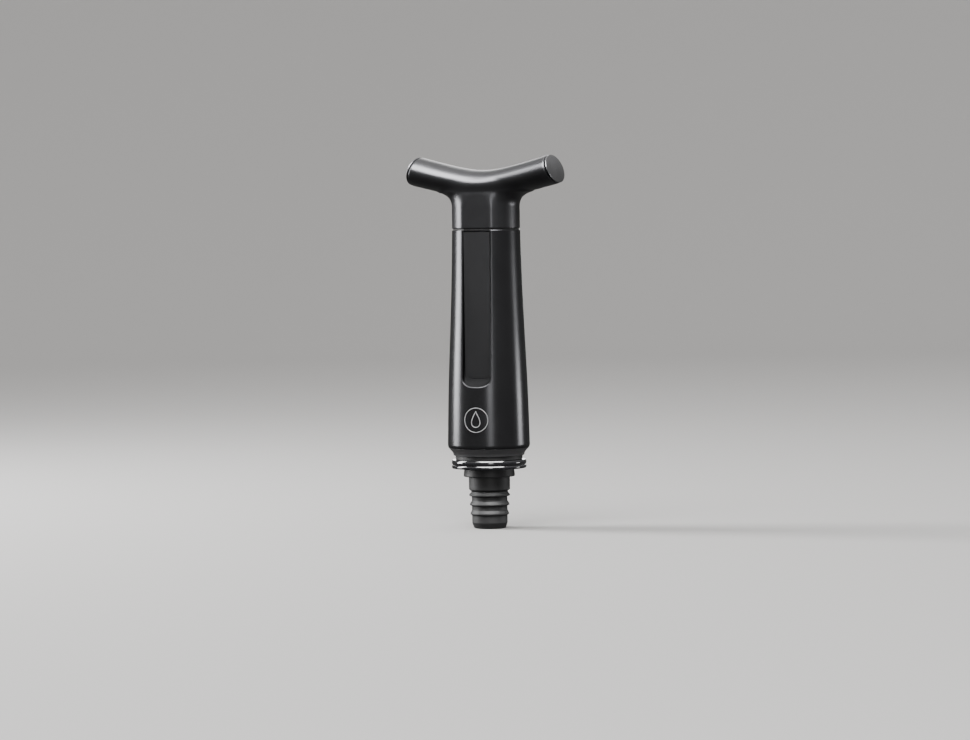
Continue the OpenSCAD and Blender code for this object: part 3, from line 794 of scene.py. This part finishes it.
def backdrop():
    """Pale floor that sweeps up behind the object, as a sheet of studio paper does. It isn't seen in
    reflections, where it would lighten the dark metal."""
    level = cad_box[0].z - FLOOR_GAP
    front, sweep_start, sweep_r, top, half_width = -9.0, 2.2, 1.6, 4.5, 7.0
    profile = [(front, level), (0.0, level)]
    profile += [(sweep_start + sweep_r * math.sin(a), level + sweep_r * (1 - math.cos(a)))
                for a in np.radians(np.linspace(0, 90, 46))]
    profile.append((sweep_start + sweep_r, top))
    a = math.radians(CAMERA_AZIMUTH)
    away, side = Vector((-math.sin(a), math.cos(a), 0)), Vector((math.cos(a), math.sin(a), 0))
    vertices = [away * d + side * w + Vector((0, 0, z))
                for w in (-half_width, half_width) for d, z in profile]
    count = len(profile)
    faces = [(k, count + k, count + k + 1, k + 1) for k in range(count - 1)]
    mesh = bpy.data.meshes.new("backdrop")
    mesh.from_pydata(vertices, [], faces)
    mesh.polygons.foreach_set("use_smooth", [True] * len(faces))
    piece = bpy.data.objects.new("backdrop", mesh)
    scene.collection.objects.link(piece)
    pale = bpy.data.materials.new("pale_floor")
    pale.use_nodes = True
    shader = pale.node_tree.nodes["Principled BSDF"]
    shader.inputs["Base Color"].default_value = (0.72, 0.71, 0.70, 1)
    shader.inputs["Roughness"].default_value = 0.85
    mesh.materials.append(pale)
    piece.visible_glossy = False
    return piece


def around(azimuth, distance, height):
    """Point round the object's axis: azimuth 0 is in front of it, and 90 is to its right."""
    a = math.radians(azimuth)
    return Vector((math.sin(a) * distance, -math.cos(a) * distance, height))


def camera():
    """Camera at its azimuth and height, turned by yaw, pitch and roll from a level look at the axis."""
    data = bpy.data.cameras.new("camera")
    data.lens = CAMERA_LENS
    data.sensor_width = 36
    data.clip_end = 40
    eye = bpy.data.objects.new("camera", data)
    scene.collection.objects.link(eye)
    eye.location = around(CAMERA_AZIMUTH, CAMERA_DISTANCE, CAMERA_HEIGHT)
    level = Vector((-eye.location.x, -eye.location.y, 0)).normalized()
    level = Quaternion((0, 0, 1), math.radians(CAMERA_YAW)) @ level
    pitch = math.radians(CAMERA_PITCH)
    look = level * math.cos(pitch) - Vector((0, 0, math.sin(pitch)))
    eye.rotation_mode = "QUATERNION"
    roll = Quaternion((0, 0, 1), math.radians(CAMERA_ROLL))
    eye.rotation_quaternion = look.to_track_quat("-Z", "Y") @ roll
    scene.camera = eye


def softbox(name, azimuth, distance, height, width, tall, power, aim=0.06):
    """Rectangular lamp that faces the object's axis at the height aim. Azimuth is counted from the
    camera's direction."""
    data = bpy.data.lights.new(name, "AREA")
    data.shape = "RECTANGLE"
    data.size = width
    data.size_y = tall
    data.energy = power
    lamp = bpy.data.objects.new(name, data)
    scene.collection.objects.link(lamp)
    lamp.location = around(CAMERA_AZIMUTH + azimuth, distance, height)
    lamp.rotation_mode = "QUATERNION"
    lamp.rotation_quaternion = (Vector((0, 0, aim)) - lamp.location).to_track_quat("-Z", "Y")
    lamp.visible_camera = False
    return lamp


def sky():
    """Soft room light: dim at the horizon and brighter overhead."""
    world = bpy.data.worlds.new("studio")
    world.use_nodes = True
    tree = world.node_tree
    direction = tree.nodes.new("ShaderNodeTexCoord").outputs["Generated"]
    parts = tree.nodes.new("ShaderNodeSeparateXYZ")
    tree.links.new(direction, parts.inputs["Vector"])
    rise = tree.nodes.new("ShaderNodeMapRange")
    rise.interpolation_type = "SMOOTHSTEP"
    rise.inputs["From Min"].default_value = 0.05
    rise.inputs["From Max"].default_value = 0.9
    rise.inputs["To Min"].default_value = SKY_LOW
    rise.inputs["To Max"].default_value = SKY_HIGH
    tree.links.new(parts.outputs["Z"], rise.inputs["Value"])
    back = tree.nodes["Background"]
    back.inputs["Color"].default_value = (1.0, 0.99, 0.98, 1)
    tree.links.new(rise.outputs["Result"], back.inputs["Strength"])
    scene.world = world


def kept_off(lamp, piece):
    """Keeps the lamp's light off this piece."""
    group = bpy.data.collections.new(lamp.name + "_skips")
    lamp.light_linking.receiver_collection = group
    group.objects.link(piece)
    for member in group.collection_objects:
        member.light_linking.link_state = "EXCLUDE"


def light(stage):
    """Strips that draw the bright bands on the metal, and soft light from above."""
    sky()
    softbox("strip_left", -104, 0.9, 0.44, 0.33, 0.92, 20, aim=0.44)
    softbox("strip_right", 100, 0.9, 0.02, 0.22, 0.09, 1.2, aim=0.02)
    softbox("strip_front", 5, 1.3, 0.44, 0.30, 0.92, 4.6, aim=0.44)
    overhead = softbox("overhead", 10, 0.30, 0.95, 1.1, 0.95, 95, aim=0.1)
    kept_off(overhead, stage)
    back = softbox("strip_back", 178, 1.3, 0.36, 0.30, 0.72, 2.5, aim=0.36)
    kept_off(back, stage)
    softbox("fill", -30, 1.5, 2.4, 1.6, 1.6, 40)


stage = backdrop()
camera()
light(stage)
